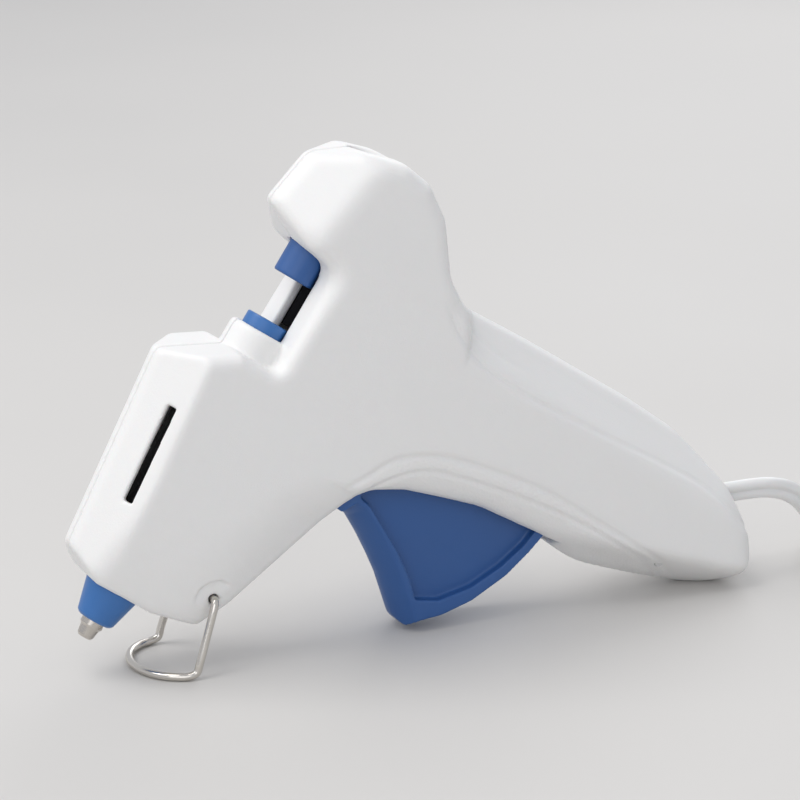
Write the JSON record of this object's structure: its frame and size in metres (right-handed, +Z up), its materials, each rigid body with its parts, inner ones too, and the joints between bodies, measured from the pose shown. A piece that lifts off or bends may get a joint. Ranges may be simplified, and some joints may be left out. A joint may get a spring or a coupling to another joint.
{
  "type": "glue gun",
  "caption": "Corded trigger-fed hot glue gun with a two-half white housing, blue trigger and insulated nozzle, stick feed window, hinged wire stand and a mains cord.",
  "frame": {"origin": "on the ground plane, centred under the gun's own box without the cord", "axes": "+X from the nozzle towards the handle's butt, +Z up, +Y to the gun's right-hand side"},
  "size_m": [0.3297, 0.0505, 0.1176],
  "materials": {
    "housing_white": "satin moulded",
    "trigger_blue": "satin moulded",
    "silicone_blue": "smooth",
    "stand_nickel": "bright",
    "tip_nickel": "nickel plated, satin",
    "cast_aluminium": "as cast",
    "steel_pin": "satin",
    "ceramic": "matte",
    "glass_wrap": "woven, dark",
    "black_nylon": "fine grain",
    "wire_white": "matte",
    "wire_black": "matte",
    "cord_white": "glossy",
    "plug_brass": "bright"
  },
  "bodies": {
    "body": {"left_housing_shell": "housing_white", "right_housing_shell": "housing_white", "nozzle_tip": "tip_nickel", "nozzle_insulator": "silicone_blue", "melt_barrel": "cast_aluminium", "feed_sleeve": "silicone_blue", "ptc_heater": "ceramic", "heater_clip": "steel_pin", "barrel_heat_wrap": "glass_wrap", "stick_trough": "black_nylon", "trigger_pivot_pin": "steel_pin", "lead_wire_left": "wire_white", "lead_wire_right": "wire_black", "trigger_return_spring": "steel_pin", "cord_clamp": "black_nylon", "power_cord": "cord_white", "cord_coil": "cord_white", "cord_tie": "black_nylon", "plug_body": "cord_white", "plug_blade_1": "plug_brass", "plug_blade_2": "plug_brass", "housing_screw_1": "steel_pin", "housing_screw_2": "steel_pin", "housing_screw_3": "steel_pin", "housing_screw_4": "steel_pin", "housing_screw_5": "steel_pin"},
    "trigger": {"trigger": "trigger_blue"},
    "carriage": {"stick_carriage": "trigger_blue", "push_link": "black_nylon", "link_pin": "steel_pin", "grip_lever_pin": "steel_pin"},
    "grip": {"grip_lever": "black_nylon"},
    "stand": {"wire_stand": "stand_nickel"}
  },
  "joints": [
    {"name": "trigger_squeeze", "type": "hinge", "parent": "body", "child": "trigger", "pos_m": [-0.02674, 0, 0.04198], "axis": [0, -1, 0], "range_deg": [0, 24], "stiffness_Nm_per_rad": 0.5, "springref_deg": -17.19, "deforming": ["trigger_return_spring"]},
    {"name": "stick_feed", "type": "slide", "parent": "body", "child": "carriage", "axis": [-0.5542, 0, -0.8324], "range_m": [0, 0.0072]},
    {"name": "grip_lever_bite", "type": "hinge", "parent": "carriage", "child": "grip", "pos_m": [-0.01485, 0, 0.09593], "axis": [0, -1, 0], "range_deg": [0, 4.1]},
    {"name": "stand_fold", "type": "hinge", "parent": "body", "child": "stand", "pos_m": [-0.05594, 0, 0.0178], "axis": [0, -1, 0], "range_deg": [0, 100]}
  ],
  "couplings": [
    {"joint": "stick_feed", "follows": "trigger_squeeze", "m_per_rad": 0.017},
    {"joint": "grip_lever_bite", "follows": "trigger_squeeze", "ratio": 0.1667}
  ]
}
